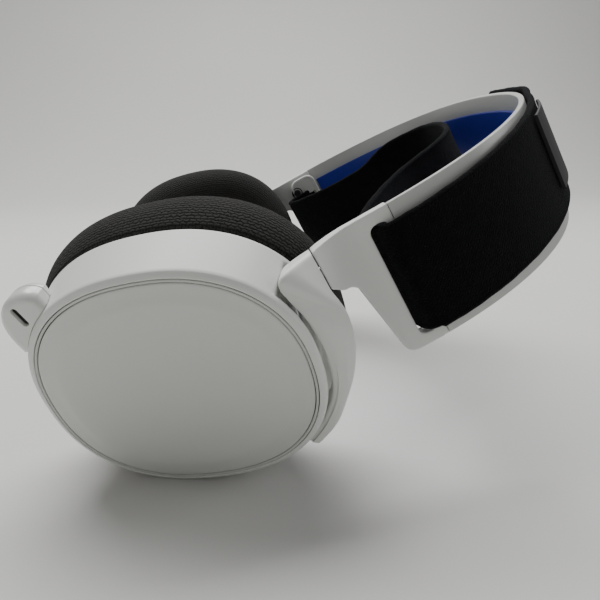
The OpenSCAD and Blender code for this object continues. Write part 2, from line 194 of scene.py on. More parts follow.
def finish_mesh(name, bm, mat, body, replaces=(), sharp=35.0):
    """Makes a piece of the headset from a bmesh."""
    bmesh.ops.recalc_face_normals(bm, faces=bm.faces)
    return make_object(name, bare_mesh(name, bm), mat, body, replaces, sharp)


def make_object(name, mesh, mat, body, replaces=(), sharp=35.0):
    obj = placed(name, mesh)
    dress(mesh, mat)
    if sharp < 180:
        mesh.set_sharp_from_angle(angle=math.radians(sharp))
    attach(obj, body)
    if replaces:
        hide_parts(*replaces)
    return obj


def skin(rings, uv, closed):
    """A bmesh over rings of points. Closed means that the last ring joins the first.

    uv gives (u of each ring, v of each point), in metres."""
    bm = bmesh.new()
    grid = [[bm.verts.new(p) for p in ring] for ring in rings]
    layer = bm.loops.layers.uv.new("UVMap") if uv else None
    m, n = len(rings), len(rings[0])
    for i in range(m if closed else m - 1):
        for k in range(n):
            i2, j = (i + 1) % m, (k + 1) % n
            face = bm.faces.new((grid[i][k], grid[i][j], grid[i2][j], grid[i2][k]))
            if uv:
                us, vs = uv
                corners = ((i, k), (i, k + 1), (i + 1, k + 1), (i + 1, k))
                for loop, (a, b) in zip(face.loops, corners):
                    loop[layer].uv = (us[a], vs[b])
    return bm, grid


def loft(rings, uv=None, ends=(True, True)):
    """A bmesh over rings, with its first and last ring closed or left open."""
    bm, grid = skin(rings, uv, False)
    if ends[0]:
        bm.faces.new(list(reversed(grid[0])))
    if ends[1]:
        bm.faces.new(grid[-1])
    return bm


def sweep(path, section, edge=None):
    """Rings of a section (normal offset, y) carried along a path in x and z.

    edge(i, y) gives the place across the band of a section's point at each step."""
    rings = []
    for i, (x, z) in enumerate(path):
        a, b = path[max(0, i - 1)], path[min(len(path) - 1, i + 1)]
        dx, dz = b[0] - a[0], b[1] - a[1]
        d = math.hypot(dx, dz)
        nx, nz = -dz / d, dx / d
        rings.append(
            [row((x + nx * o, edge(i, y) if edge else y, z + nz * o)) for o, y in section]
        )
    return rings


def applied(obj):
    """The mesh that an object's modifiers give."""
    bpy.context.view_layer.update()
    return bpy.data.meshes.new_from_object(obj.evaluated_get(bpy.context.evaluated_depsgraph_get()))


def soften(source, name, mat, voxel):
    """A moulded copy of a CAD node of the headband, remeshed fine and smoothed to round its edges."""
    obj = placed("work", nodes[source].data.copy())
    mod = obj.modifiers.new("remesh", "REMESH")
    mod.mode = "VOXEL"
    mod.voxel_size = voxel * MM
    mod = obj.modifiers.new("even", "SMOOTH")
    mod.factor = 0.5
    mod.iterations = 2
    mesh = applied(obj)
    bpy.data.objects.remove(obj)
    mesh.name = name
    return make_object(name, mesh, mat, "headband", (source,), 180)


def hollowed(obj, cutter):
    """Cuts one object out of another, and removes the cutter."""
    mod = obj.modifiers.new("cut", "BOOLEAN")
    mod.object = cutter
    mod.operation = "DIFFERENCE"
    mod.solver = "EXACT"
    mesh = applied(obj)
    mesh.set_sharp_from_angle(angle=math.radians(35))
    obj.modifiers.remove(mod)
    obj.data = mesh
    bpy.data.objects.remove(cutter)


def plain_object(name, bm):
    """An object that is only worked with, and isn't one of the headset's pieces."""
    bmesh.ops.recalc_face_normals(bm, faces=bm.faces)
    return placed(name, bare_mesh(name, bm))


def bevel(obj, width):
    """Soft edges on a CAD node, by a modifier."""
    mod = obj.modifiers.new("bevel", "BEVEL")
    mod.width = width * MM
    mod.segments = 2
    mod.limit_method = "ANGLE"
    mod.angle_limit = math.radians(35)
    mod.harden_normals = True


# ---------- materials ----------


def add(nt, kind, inputs=None, **props):
    """A shader node with its properties and inputs set, to values or to other nodes' outputs."""
    node = nt.nodes.new(kind)
    for k, v in props.items():
        setattr(node, k, v)
    for k, v in (inputs or {}).items():
        if isinstance(v, bpy.types.NodeSocket):
            nt.links.new(v, node.inputs[k])
        else:
            node.inputs[k].default_value = v
    return node


def new_material(name, **inputs):
    """A material whose Principled inputs are given by name, with _ for each space."""
    mat = bpy.data.materials.new(name)
    mat.use_nodes = True
    shader = mat.node_tree.nodes["Principled BSDF"]
    for k, v in inputs.items():
        shader.inputs[k.replace("_", " ")].default_value = v
    return mat, mat.node_tree, shader


def coords(nt, kind="Object", scale=(1, 1, 1)):
    tc = add(nt, "ShaderNodeTexCoord")
    return add(nt, "ShaderNodeMapping", {"Vector": tc.outputs[kind], "Scale": scale}).outputs["Vector"]


def noise(nt, vector, scale, detail=2.0, rough=0.5):
    return add(
        nt, "ShaderNodeTexNoise",
        {"Vector": vector, "Scale": scale, "Detail": detail, "Roughness": rough},
    ).outputs["Fac"]


def cells(nt, vector, scale, randomness):
    """Distance to the middle of the nearest cell."""
    inputs = {"Vector": vector, "Scale": scale, "Randomness": randomness}
    return add(nt, "ShaderNodeTexVoronoi", inputs).outputs["Distance"]


def ramp(nt, fac, stops):
    """A colour for each value, between stops of (value, colour)."""
    node = add(nt, "ShaderNodeValToRGB", {"Fac": fac})
    el = node.color_ramp.elements
    while len(el) < len(stops):
        el.new(0.5)
    for e, (pos, col) in zip(el, stops):
        e.position = pos
        e.color = (*col, 1)
    return node.outputs["Color"]


def paint(nt, shader, fac, stops):
    """Colours a shader by a ramp over a value."""
    nt.links.new(ramp(nt, fac, stops), shader.inputs["Base Color"])


def spread(nt, value, lo, hi, out_lo, out_hi):
    """A value's range stretched over another range."""
    return add(
        nt, "ShaderNodeMapRange",
        {"Value": value, "From Min": lo, "From Max": hi, "To Min": out_lo, "To Max": out_hi},
    ).outputs["Result"]


def math_node(nt, op, a, b=0.0):
    return add(nt, "ShaderNodeMath", {0: a, 1: b}, operation=op).outputs["Value"]


def scaled(nt, value, factor):
    """A value times a number or another value."""
    return math_node(nt, "MULTIPLY", value, factor)


def total(nt, *terms):
    """The sum of several values."""
    out = terms[0]
    for term in terms[1:]:
        out = math_node(nt, "ADD", out, term)
    return out


def bump(nt, shader, height, distance):
    out = add(nt, "ShaderNodeBump", {"Height": height, "Distance": distance}).outputs["Normal"]
    nt.links.new(out, shader.inputs["Normal"])


def moulded(name, light, dark, rough, grain=0.000012, grain_scale=5200, coat=0.0):
    """Moulded or painted surface: fine grain, slow changes of tone and roughness, and edges lightened as
    a painted highlight.
    """
    mat, nt, sh = new_material(name, IOR=1.47, Coat_Weight=coat, Coat_Roughness=0.25)
    v = coords(nt)
    slow = noise(nt, v, 22, 4, 0.55)
    fine = noise(nt, v, grain_scale, 2, 0.6)
    # Convex edges are lightened by their pointiness: a painted highlight, added to the slow random tone.
    edge = add(nt, "ShaderNodeNewGeometry").outputs["Pointiness"]
    tone = total(nt, slow, spread(nt, edge, 0.5, 0.56, 0, 0.25))
    paint(nt, sh, tone, [(0.3, dark), (0.75, light)])
    nt.links.new(spread(nt, slow, 0.3, 0.7, rough - 0.04, rough + 0.05), sh.inputs["Roughness"])
    bump(nt, sh, fine, grain)
    return mat


WHITE = moulded("white_plastic", (0.80, 0.81, 0.78), (0.77, 0.78, 0.75), 0.42)
PLATE = moulded("plate_plastic", (0.72, 0.735, 0.70), (0.70, 0.715, 0.68), 0.38, 0.000008)
PAINT = moulded("white_paint", (0.60, 0.61, 0.59), (0.56, 0.57, 0.55), 0.34, 0.000006, 2600, 0.3)
GLOSS = moulded("gloss_white", (0.76, 0.775, 0.74), (0.74, 0.755, 0.72), 0.18, 0.000002, 2600, 0.4)
TRIM = moulded("trim_plastic", (0.64, 0.65, 0.62), (0.60, 0.61, 0.585), 0.42)
NAVY = moulded("blue_plastic", (0.012, 0.03, 0.36), (0.008, 0.018, 0.27), 0.38, 0.000006)
BLACK = moulded("black_plastic", (0.022, 0.022, 0.024), (0.012, 0.012, 0.013), 0.5, 0.00002)
RUBBER = moulded("black_rubber", (0.008, 0.008, 0.009), (0.005, 0.005, 0.006), 0.62, 0.00003, 2400)
WRAP = moulded("battery_wrap", (0.42, 0.44, 0.47), (0.34, 0.36, 0.39), 0.35, 0.00004, 700)


def metal():
    """Brushed steel."""
    mat, nt, sh = new_material("steel", Metallic=1.0)
    v = coords(nt, scale=(1, 1, 14))
    brush = noise(nt, v, 900, 3, 0.6)
    paint(nt, sh, brush, [(0.3, (0.42, 0.43, 0.44)), (0.7, (0.62, 0.63, 0.64))])
    nt.links.new(spread(nt, brush, 0.3, 0.7, 0.28, 0.42), sh.inputs["Roughness"])
    bump(nt, sh, brush, 0.00001)
    return mat


def board():
    """Green circuit board with raised tracks."""
    mat, nt, sh = new_material("circuit_board", Coat_Weight=0.3, Coat_Roughness=0.1, Roughness=0.4)
    v = coords(nt)
    tracks = add(nt, "ShaderNodeTexBrick", {
        "Vector": v, "Scale": 240.0, "Mortar Size": 0.06, "Mortar Smooth": 0.1,
        "Color1": (0.01, 0.10, 0.045, 1), "Color2": (0.012, 0.12, 0.055, 1),
        "Mortar": (0.03, 0.22, 0.09, 1)})
    nt.links.new(tracks.outputs["Color"], sh.inputs["Base Color"])
    bump(nt, sh, tracks.outputs["Fac"], 0.00003)
    return mat


def strap_cloth():
    """Brushed loop knit: a diagonal rib under a fuzzy pile, with painted shade in its hollows and painted
    light on the raised pile.
    """
    mat, nt, sh = new_material(
        "strap_cloth", Roughness=0.95, Sheen_Weight=0.05, Sheen_Roughness=0.4,
        Sheen_Tint=(0.75, 0.78, 0.85, 1), Specular_IOR_Level=0.12)
    uv = coords(nt, "UV", (1000, 1000, 1))
    warp = noise(nt, uv, 0.6, 2)
    sep = add(nt, "ShaderNodeSeparateXYZ", {"Vector": uv})
    diagonal = total(nt, sep.outputs["X"], sep.outputs["Y"], scaled(nt, warp, 0.9))
    rib = math_node(nt, "SINE", scaled(nt, diagonal, 5.6))
    across = math_node(nt, "SINE", scaled(nt, sep.outputs["Y"], 9.0))
    loops = cells(nt, uv, 1.9, 0.9)
    pile = noise(nt, coords(nt), 2600, 3, 0.7)
    clumps = noise(nt, coords(nt), 260, 3, 0.6)
    height = total(
        nt, scaled(nt, rib, 0.12), scaled(nt, across, 0.05), scaled(nt, loops, -0.7),
        scaled(nt, pile, 1.3), scaled(nt, clumps, 0.6))
    # The colour follows the bump's height, darker in the loops' hollows and lighter on the raised pile:
    # painted shade and light. The clumps add random tone.
    tone = total(nt, scaled(nt, height, 0.5), scaled(nt, clumps, 0.35))
    paint(nt, sh, tone, [
        (0.25, (0.001, 0.0011, 0.0015)), (0.7, (0.004, 0.0042, 0.0052)), (1.0, (0.03, 0.031, 0.035))])
    bump(nt, sh, height, 0.0004)
    return mat


# Length of a stitch and distance between the rows, in mm
STITCH, ROW = 1.7, 1.05


def stitches(nt, uv):
    """Height of the knit's stitches, in rows. Each second row is moved by half a stitch."""
    wobble = add(nt, "ShaderNodeTexNoise", {"Vector": uv, "Scale": 0.9, "Detail": 2.0})
    moved = add(nt, "ShaderNodeVectorMath", {0: uv, 1: wobble.outputs["Color"]}, operation="ADD")
    sep = add(nt, "ShaderNodeSeparateXYZ", {"Vector": moved.outputs["Vector"]})
    lift = math_node(nt, "PINGPONG", scaled(nt, sep.outputs["X"], 1 / STITCH), 0.5)
    rows = total(nt, scaled(nt, sep.outputs["Y"], 1 / ROW), scaled(nt, lift, 0.55))
    index = math_node(nt, "FLOOR", rows)
    odd = scaled(nt, math_node(nt, "MODULO", math_node(nt, "ABSOLUTE", index), 2.0), STITCH / 2)
    along = math_node(nt, "PINGPONG", total(nt, sep.outputs["X"], odd), STITCH / 2)
    off_middle = math_node(nt, "SUBTRACT", math_node(nt, "FRACT", rows), 0.5)
    drop = math_node(nt, "POWER", scaled(nt, math_node(nt, "ABSOLUTE", off_middle), 2.0), 2.4)
    round_row = math_node(nt, "SUBTRACT", 1.0, drop)
    round_along = math_node(nt, "POWER", spread(nt, along, 0.0, 0.3, 0.0, 1.0), 0.6)
    return scaled(nt, round_row, round_along)


def knit_cloth():
    """Sports knit of the ear cushions."""
    mat, nt, sh = new_material(
        "cushion_knit", Roughness=0.9, Sheen_Weight=0.06, Sheen_Roughness=0.45,
        Sheen_Tint=(0.8, 0.8, 0.78, 1), Specular_IOR_Level=0.2)
    uv = coords(nt, "UV", (1000, 1000, 1))
    yarn = noise(nt, uv, 7, 2, 0.6)
    height = total(nt, stitches(nt, uv), scaled(nt, yarn, 0.35))
    slow = noise(nt, coords(nt), 40, 3)
    # The colour follows the stitches' height, darker between them and lighter on their tops: painted
    # shade of the knit's relief. The slow noise adds random tone.
    tone = total(nt, scaled(nt, height, 0.7), scaled(nt, slow, 0.25))
    paint(nt, sh, tone, [
        (0.15, (0.003, 0.003, 0.003)), (0.55, (0.014, 0.0138, 0.0132)), (1.0, (0.036, 0.035, 0.0325))])
    bump(nt, sh, height, 0.00028)
    return mat


def scrim_cloth():
    """Thin black cloth with fine holes."""
    mat, nt, sh = new_material("scrim_cloth", Roughness=0.9, Sheen_Weight=0.15)
    holes = cells(nt, coords(nt), 1100.0, 0.15)
    paint(nt, sh, holes, [(0.2, (0.004, 0.004, 0.004)), (0.6, (0.03, 0.03, 0.03))])
    bump(nt, sh, holes, 0.00015)
    return mat


STEEL, BOARD, STRAP, KNIT, SCRIM = metal(), board(), strap_cloth(), knit_cloth(), scrim_cloth()
# Near-black painted shade, put in gaps, recesses and holes where shade falls.
SHADE_BLACK = new_material("painted_shade", Roughness=0.8, Base_Color=(0.004, 0.004, 0.004, 1))[0]


def finish_node(name, mat, width=0.0):
    """Keeps a CAD node and gives it a material, and soft edges where width isn't zero."""
    mesh = nodes[name].data
    dress(mesh, mat)
    mesh.set_sharp_from_angle(angle=math.radians(35))
    if width:
        bevel(nodes[name], width)


# ---------- headband ----------

# Height of the seam between band and end pieces; half width and thickness of the metal and of its liner
SEAM_Z = 10.3
BAND_HALF, METAL_T = 20.5, 1.8
LINER_HALF, LINER_T = 14, 1.0


def arch_path(inset, above):
    """The band's arch at a distance inside its outer face, as far down as a height."""
    fine = [arch(a / 4, inset) for a in range(-360, 361)]
    return even([p for p in fine if p[1] >= above], 1.2)


def headband():
    section = rounded(-METAL_T / 2, METAL_T / 2, -BAND_HALF, BAND_HALF, 0.35)
    band = sweep(arch_path(METAL_T / 2, SEAM_Z + 0.05), section)
    finish_mesh("band_metal", loft(band), PAINT, "headband", ["headband_spring"])
    section = rounded(-LINER_T / 2, LINER_T / 2, -LINER_HALF, LINER_HALF, 0.42)
    liner = sweep(arch_path(METAL_T + LINER_T / 2, SEAM_Z + 2.2), section)
    finish_mesh("band_liner", loft(liner), NAVY, "headband", ["headband_liner"])


# The strap is one piece: the left tail from past the crown down to its window, the hanging loop
# from window to window, and the right tail up to the crown. The left tail's end covers the right one.
STRAP_T, STRAP_HALF = 2.2, 16.5
# How far the middle of a tail lies outside the band
TAIL_OFF = 0.5 + STRAP_T / 2
# How far the covering end is lifted, from which angle, and over how many degrees it rises
LAP = STRAP_T + 0.4
LAP_FROM, LAP_OVER = -24, 12
# Route (x, z) of the hanging loop, from the left window to the right one
INNER = [
    (-93.9, 10.5), (-93.6, 7.9), (-92.2, 6), (-89, 4.9), (-84, 4.2), (-75, 4.2), (-64, 8.5), (-48, 19.5),
    (-37, 30), (-30, 40), (-22, 50), (-9, 58), (8, 63), (24, 65), (40, 63.5), (49, 56),
    (53, 44), (54, 32), (55.5, 20), (60, 8), (68, -1.5), (76, -6), (81.4, -6), (83.6, -3), (84.2, 0),
    (85, 3), (87.6, 5.2), (90.2, 5.8), (92.2, 6.5), (93.6, 8), (93.9, 10.5),
]


def tail(start, stop, steps, lap):
    """An outer tail between two angles from the crown, lifted by lap mm where it covers the other."""
    angles = [start + (stop - start) * k / steps for k in range(steps + 1)]
    return [arch(a, -TAIL_OFF - lap * ease((a - LAP_FROM) / LAP_OVER)) for a in angles]


def strap_section():
    """Section of the strap (normal offset, y): flat faces and round edges."""
    body = [(-1.0, -15.2), (-1.02, -8), (-1.05, 0), (-1.02, 8), (-1.0, 15.2)]
    turns = [math.radians(a) for a in range(-30, 211, 24)]
    front = [(-math.cos(a) * 1.12, 15.5 + math.sin(a) * 1.1) for a in turns]
    return body + front + [(-o, -y) for o, y in body] + [(-o, -y) for o, y in front]


# Where the strap's middle lies across the band, and its half width: at the end of the left tail, at the
# left window, in the loop, at the right window and at the end of the right tail
LEFT_END, LEFT_WINDOW, LOOP = (3.2, 16.9), (-0.7, 16.7), (-0.4, 16.3)
RIGHT_WINDOW, RIGHT_END = (-3.0, 14.4), (0.0, 16.4)
# How far the loop bulges forward where it hangs
LOOP_BULGE = 2.2


def strap_track(i, turn_a, turn_b):
    """Middle and half width of the strap at a step of its path, which passes the windows at two steps."""
    if i <= turn_a:
        return blend(LEFT_WINDOW, LEFT_END, ease((1 - i / turn_a) * 1.5))
    if i >= turn_b:
        return blend(RIGHT_WINDOW, RIGHT_END, ease((i - turn_b) / 12))
    u = (i - turn_a) / (turn_b - turn_a)
    hang = math.sin(math.pi * min(1, u * 1.25)) if u < 0.8 else 0
    middle, half = blend(LOOP, RIGHT_WINDOW, ease((u - 0.66) / 0.08))
    return middle + LOOP_BULGE * hang, half


def strap():
    path = even(tail(3, -85, 60, LAP) + catmull(INNER[1:-1], 6) + tail(85, -9, 66, 0), 0.8)
    last = len(path) - 1
    turn_a = min(range(last // 2), key=lambda i: path[i][0])
    turn_b = max(range(last // 2, last), key=lambda i: path[i][0])

    def edge(i, y):
        centre, half = strap_track(i, turn_a, turn_b)
        wave = 0.05 * math.sin(i * 0.37) + 0.03 * math.sin(i * 0.83 + y)
        return centre + y / STRAP_HALF * half + wave * abs(y) / STRAP_HALF

    section = strap_section()
    rings = sweep(path, section, edge)
    us = [d * MM for d in lengths(path)]
    vs = [d * MM for d in lengths(section + [section[0]])]
    finish_mesh(
        "strap_band", loft(rings, (us, vs)), STRAP, "headband", ["headband_strap"], 60)


# The plain patch: angles from the crown, height over the strap, thickness, rear and front edge
PATCH_FROM, PATCH_TO = -42, -25
PATCH_OVER, PATCH_T = 0.75, 1.1
PATCH_REAR, PATCH_FRONT = -8, 17


def patch():
    angles = [PATCH_FROM + (PATCH_TO - PATCH_FROM) * k / 30 for k in range(31)]
    path = even([arch(a, -TAIL_OFF - STRAP_T / 2 - PATCH_OVER) for a in angles], 1.0)
    section = rounded(-PATCH_T / 2, PATCH_T / 2, PATCH_REAR, PATCH_FRONT, 0.45)
    mesh = loft(sweep(path, section))
    finish_mesh("strap_badge", mesh, RUBBER, "headband", ["strap_patch"])


# Distance from the middle to the inner face of the end covers, and the centre of the screw in each
COVER_FACE = ARCH_W - 6.0
SCREW_Y, SCREW_Z = 12.5, -0.4
# Rear, front, lower and upper edge and corner radius of a cover's rim, and of the lip in a window
RIM = (-18.4, 18.9, -2.3, 11.4, 4.5)
LIP = (9.4, 18, 1.8, 9.4, 1.4)


def shrunk(box, inset, n=4):
    """Outline of a rounded box with its edges moved inward."""
    rear, front, low, top, radius = box
    return rounded(rear + inset, front - inset, low + inset, top - inset, radius - inset, n)


def cover_rim(name, side):
    """A raised rim round an end cover."""
    rim = []
    for depth, r in ((0.1, 0), (-0.25, 0.1), (-0.4, 0.35), (-0.4, 0.75), (-0.2, 1.0), (0.1, 1.05)):
        rim.append([row((side * (COVER_FACE + depth), y, z)) for y, z in shrunk(RIM, r, 6)])
    mesh = loft(rim, ends=(False, False))
    finish_mesh("cover_rim_" + name, mesh, WHITE, "headband")


def cover_lip():
    """Closes the right cover's window in front of the strap, which is bunched to the rear there."""
    lip = []
    for depth, r in ((1.4, 0), (0.15, 0), (0.02, 0.12)):
        lip.append([row((COVER_FACE + depth, y, z)) for y, z in shrunk(LIP, r)])
    finish_mesh("cover_lip_right", loft(lip), TRIM, "headband")


def screw_well(name, side):
    """The countersink round an end cover's screw, coloured black as painted shade."""
    rings = []
    for depth, r in ((-0.02, 2.95), (-0.12, 2.8), (-0.1, 2.5), (0.35, 2.35)):
        turns = [a * math.pi / 16 for a in range(32)]
        rings.append([
            row((side * (COVER_FACE + depth), SCREW_Y + r * math.cos(a), SCREW_Z + r * math.sin(a)))
            for a in turns])
    mesh = loft(rings, ends=(False, True))
    finish_mesh("screw_well_" + name, mesh, SHADE_BLACK, "headband")


def ends(name, side):
    soften("end_piece_" + name, "arm_" + name, WHITE, 0.32)
    soften("end_cover_" + name, "arm_cover_" + name, TRIM, 0.3)
    cover_rim(name, side)
    if side > 0:
        cover_lip()
    screw_well(name, side)


# ---------- ear cups ----------

# Depth of a cup, how far its wall lies outside the plate's outline in front, and how far it flares
CUP_DEPTH = 16.7
WALL_OFF, WALL_FLARE = 2.82, 2.8


def wall_off(x):
    """How far the wall lies outside the plate's outline at a depth."""
    return WALL_OFF + max(0, -x) / CUP_DEPTH * WALL_FLARE


def cup_ring(x, off, side, n=160, wave=None):
    """A ring round a cup at a depth x. wave(degrees, x, off) can change its distance from the plate."""
    out = []
    for k in range(n):
        t = 2 * math.pi * k / n
        o = wave(math.degrees(t), x, off) if wave else off
        out.append(cup((x, *outline(t, o)), side))
    return out


# The channel under the yoke: start and end in degrees round the cup, depths of its two sides, and how far
# its floor lies outside the plate's outline
CHANNEL_START, CHANNEL_END = 54, 148
CHANNEL_OUTER, CHANNEL_INNER = -2.0, -15.0
CHANNEL_FLOOR = 1.3


def channel(angle, x, off):
    """The wall's distance from the plate, cut back in the channel."""
    a = ease((angle - CHANNEL_START) / 5) * ease((CHANNEL_END - angle) / 3)
    d = ease((CHANNEL_OUTER - x) / 0.7) * ease((x - CHANNEL_INNER) / 0.6)
    return off - (off - CHANNEL_FLOOR) * a * d


def shell(name, side):
    """The housing: a rounded front edge, the flared wall and a lip round the ear side."""
    profile = [
        (-0.5, 1.0), (0.1, 1.04), (0.22, 1.2), (0.18, 1.4),
        (-0.12, 2.0), (-0.5, 2.62), (-0.66, 2.78), (-0.9, 2.88),
    ]
    x = -1.3
    while x > -16:
        profile.append((x, wall_off(x)))
        x -= 0.35
    profile += [(-16.25, 5.5), (-16.55, 5.35), (-16.7, 5.0), (-16.72, 4.2), (-16.72, 2.0)]
    mesh = loft([cup_ring(px, off, side, 360, channel) for px, off in profile], ends=(False, False))
    finish_mesh(
        "shell_" + name, mesh, WHITE, "cup_" + name, ["cup_housing_" + name], 50)


def seam(name, side):
    """The thin ring round the plate, and a black ring of painted shade in the gap that it stands in."""
    body = "cup_" + name
    profile = [
        (-0.5, 0.12), (0.1, 0.14), (0.24, 0.24), (0.27, 0.45), (0.24, 0.68), (0.1, 0.8), (-0.5, 0.82),
    ]
    mesh = loft([cup_ring(x, off, side) for x, off in profile], ends=(False, False))
    finish_mesh("seam_ring_" + name, mesh, TRIM, body, ["trim_ring_" + name])
    under = loft([cup_ring(-0.52, off, side) for off in (1.15, -0.2)], ends=(False, False))
    finish_mesh("seam_shadow_" + name, under, SHADE_BLACK, body)


def plate(name, side):
    """The outer plate: a low crowned face inside a bevelled edge."""
    profile = [
        (-0.5, -0.1), (0.05, -0.12), (0.22, -0.3), (0.3, -0.7), (0.38, -2.2), (0.56, -3.5), (0.82, -4.7),
        (0.96, -5.5), (1.01, -6.4), (1.03, -9), (1.06, -18), (1.08, -25), (1.09, -32),
    ]
    mesh = loft([cup_ring(x, off, side) for x, off in profile], ends=(False, True))
    finish_mesh(
        "plate_" + name, mesh, PLATE, "cup_" + name, ["speaker_plate_" + name], 60)


# Section of a cushion: depth, and distance outside the plate's outline
CUSHION_SECTION = [
    (-16.9, 3.6), (-17.6, 5.4), (-19.6, 7.2), (-23, 8.5), (-27, 8.95), (-31, 8.4), (-34.4, 6.6),
    (-36.8, 3.6), (-37.9, -0.4), (-37.7, -4.2), (-36.2, -7.6), (-33, -10), (-28.5, -11), (-23, -11.2),
    (-19, -10.8), (-16.9, -10.0), (-16.8, -5), (-16.8, 0),
]


def swell(obj, held, cap):
    """Fills a pad as sewn cloth over foam. Held points stay put, and none moves more than cap mm."""
    group = obj.vertex_groups.new(name="held")
    group.add(held, 1.0, "REPLACE")
    mod = obj.modifiers.new("cloth", "CLOTH")
    cloth = mod.settings
    cloth.use_pressure = True
    cloth.uniform_pressure_force = 4
    cloth.effector_weights.gravity = 0
    cloth.vertex_group_mass = "held"
    cloth.tension_stiffness = cloth.compression_stiffness = 12
    mod.collision_settings.use_collision = False
    for frame_number in range(1, 17):
        bpy.context.scene.frame_set(frame_number)
    swollen = applied(obj)
    for vert, grown in zip(obj.data.vertices, swollen.vertices):
        move = grown.co - vert.co
        if move.length > cap * MM:
            move *= cap * MM / move.length
        vert.co += move
    obj.modifiers.remove(mod)
    bpy.context.scene.frame_set(1)
    bpy.data.meshes.remove(swollen)


# A cushion is glued to its cup, and held in the simulation, where its section is nearer than this depth.
CUSHION_HELD = -18.5
# How far the ear opening lies inside the plate's outline
EAR_INSET = 10.2


def cushion(name, side):
    """A cushion's knit cover. It is cut 0.5 mm small, and swells back to its size."""
    section = catmull(CUSHION_SECTION, 2, closed=True)
    small = [off - 0.5 if x < -19 else off for x, off in section]
    n, m = 96, len(section)
    rings = []
    for k in range(n):
        t = 2 * math.pi * k / n
        rings.append([cup((p[0], *outline(t, off)), side) for p, off in zip(section, small)])
    track = [outline(2 * math.pi * k / n, 4) for k in range(n + 1)]
    us = [d * MM for d in lengths(track)]
    vs = [d * MM for d in lengths(section + [section[0]])]
    bm, _ = skin(rings, (us, vs), True)
    obj = finish_mesh(
        "ear_pad_" + name, bm, KNIT, "cup_" + name, ["ear_cushion_" + name], 180)
    held = [j for j in range(m) if section[j][0] > CUSHION_HELD]
    swell(obj, [k * m + j for k in range(n) for j in held], 0.9)
    mod = obj.modifiers.new("smooth", "SUBSURF")
    mod.levels = mod.render_levels = 1
    return obj


def scrim(name, side, pad):
    """The cloth stretched in a cushion's ear opening."""
    profile = [(-18.6, -EAR_INSET), (-18.4, -12), (-18.0, -16), (-17.8, -22), (-17.7, -30)]
    mesh = loft([cup_ring(x, off, side, 96) for x, off in profile], ends=(False, True))
    cloth = finish_mesh(
        "ear_cloth_" + name, mesh, SCRIM, "cup_" + name, ["ear_scrim_" + name], 180)


# Long edges of the right yoke in the cup's frame, from the swivel seam round to the rear tip:
# the front and the rear edge of its outer face, then the same two edges of its back.
YOKE_FRONT = [
    (-14.6, 25.1, 42.6), (-10.5, 25.7, 40.2), (-6.2, 26.2, 37.8), (-3.6, 25.6, 35.6), (-3, 23.2, 34.6),
    (-3, 19.5, 35.8), (-3, 13, 38.6), (-3, 3.5, 40.6), (-3, -6, 40.7), (-3, -14, 39), (-3, -22, 34.3),
    (-3, -28.2, 28.9),
]
YOKE_REAR = [
    (-12.1, 13.3, 45.8), (-11.3, 12.1, 47), (-10.6, 10.9, 47.9), (-10.2, 9.6, 48.6), (-9.8, 8, 49.1),
    (-9.2, 5.6, 49.4), (-8.6, 2.4, 49.5), (-7.8, -3, 48.9), (-6.8, -10.2, 46.9), (-6.2, -18, 43.3),
    (-5.8, -26.5, 38.6), (-5.6, -32.6, 32.6),
]
YOKE_BACK_REAR = [
    (-17.4, 11, 44.5), (-16.4, 11.2, 44.4), (-14.8, 10.8, 44.8), (-13.2, 9.4, 45.6), (-12.2, 7.6, 46.4),
    (-11.7, 5, 47), (-11.5, 1.8, 47.2), (-11.5, -3.2, 46.7), (-11.5, -10, 44.9), (-11.5, -17.4, 41.4),
    (-11.5, -25.2, 36.8), (-11.4, -31, 31.4),
]
YOKE_BACK_FRONT = [
    (-20.2, 23.5, 41.1), (-17, 24, 38.9), (-13.6, 24.4, 36.8), (-11.8, 24, 35.2), (-11.5, 22.4, 34.5),
    (-11.5, 19.2, 35.9), (-11.5, 12.8, 38.7), (-11.5, 3.5, 40.7), (-11.5, -6, 40.8), (-11.5, -14, 39.1),
    (-11.5, -22, 34.4), (-11.4, -28.2, 29),
]
# Corner radii of the yoke's outer face and back, and the height of the outer face's crown
YOKE_FACE_R, YOKE_BACK_R, YOKE_CROWN = 2.2, 1.2, 0.55


def round_corner(before, corner, after, radius, n=5):
    """Points of a rounded corner between its two neighbours."""
    a = corner + (before - corner).normalized() * min(radius, 0.45 * (before - corner).length)
    b = corner + (after - corner).normalized() * min(radius, 0.45 * (after - corner).length)
    return [a.lerp(corner, k / n).lerp(corner.lerp(b, k / n), k / n) for k in range(n + 1)]


def yoke(name, side):
    """A C-shaped yoke lofted over its four long edges, with a crowned outer face and a round tip."""
    tracks = [catmull(t, 8) for t in (YOKE_FRONT, YOKE_REAR, YOKE_BACK_REAR, YOKE_BACK_FRONT)]
    rings = []
    for station in zip(*tracks):
        c = [Vector(p) for p in station]
        out = (c[0] - c[3] + c[1] - c[2]).normalized()
        ring = []
        for k in range(4):
            ring += round_corner(c[k - 1], c[k], c[(k + 1) % 4], YOKE_FACE_R if k < 2 else YOKE_BACK_R)
            if k == 0:
                ring += [
                    c[0].lerp(c[1], u) + out * YOKE_CROWN * (1 - (2 * u - 1) ** 2)
                    for u in (0.3, 0.4, 0.5, 0.6, 0.7)
                ]
        rings.append(ring)
    last = rings[-1]
    middle = sum(last, Vector()) / len(last)
    ahead = (last[0] - rings[-2][0]).normalized()
    for size, step in ((0.93, 0.5), (0.8, 0.95), (0.55, 1.2), (0.25, 1.3)):
        rings.append([middle + (p - middle) * size + ahead * step for p in last])
    rings = [[cup(p, side) for p in ring] for ring in rings]
    finish_mesh(
        "fork_" + name, loft(rings), WHITE, "yoke_" + name, ["yoke_" + name], 40)


